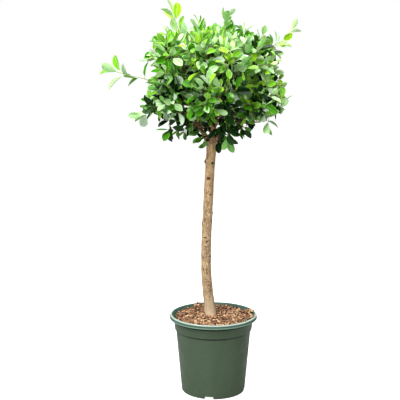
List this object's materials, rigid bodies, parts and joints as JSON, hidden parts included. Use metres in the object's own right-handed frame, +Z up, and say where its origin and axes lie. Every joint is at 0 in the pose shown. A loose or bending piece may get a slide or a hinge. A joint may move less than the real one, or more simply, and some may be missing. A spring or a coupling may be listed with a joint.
{
  "type": "potted standard fig tree",
  "caption": "Standard tree with one clear stem, a round clipped head of oval leaves with loose young shoots, in a round tapered pot of mulched compost.",
  "frame": {"origin": "centre of the pot's flat underside, on the surface that it stands on", "axes": "+Z up along the stem, +X to the right in the front view, +Y to the back"},
  "size_m": [0.5898, 0.4729, 1.1939],
  "materials": {
    "pot_plastic": "satin",
    "compost": "matte",
    "stem_bark": "matte",
    "bough_bark": "matte",
    "leaf": "satin",
    "young_leaf": "satin"
  },
  "bodies": {
    "root": {"cap_mass": "leaf", "compost": "compost", "leader_bough": "bough_bark", "lower_bough_1": "bough_bark", "lower_bough_2": "bough_bark", "lower_bough_3": "bough_bark", "lower_bough_4": "bough_bark", "lower_bough_5": "bough_bark", "lower_bough_6": "bough_bark", "lower_mass_1": "leaf", "lower_mass_2": "leaf", "lower_mass_3": "leaf", "lower_mass_4": "leaf", "lower_mass_5": "leaf", "lower_mass_6": "leaf", "pot": "pot_plastic", "shoot_back_hanging": "young_leaf", "shoot_back_high": "young_leaf", "shoot_back_left_side": "young_leaf", "shoot_back_right_high": "young_leaf", "shoot_back_side": "young_leaf", "shoot_front_hanging": "young_leaf", "shoot_left_hanging": "young_leaf", "shoot_left_high": "young_leaf", "shoot_left_low": "young_leaf", "shoot_left_tip": "young_leaf", "shoot_right_hanging": "young_leaf", "shoot_right_low": "young_leaf", "shoot_right_tip": "young_leaf", "shoot_top_left": "young_leaf", "shoot_top_middle": "young_leaf", "shoot_top_right": "young_leaf", "stem": "stem_bark", "upper_bough_1": "bough_bark", "upper_bough_2": "bough_bark", "upper_bough_3": "bough_bark", "upper_bough_4": "bough_bark", "upper_bough_5": "bough_bark", "upper_mass_1": "leaf", "upper_mass_2": "leaf", "upper_mass_3": "leaf", "upper_mass_4": "leaf", "upper_mass_5": "leaf"}
  },
  "joints": []
}
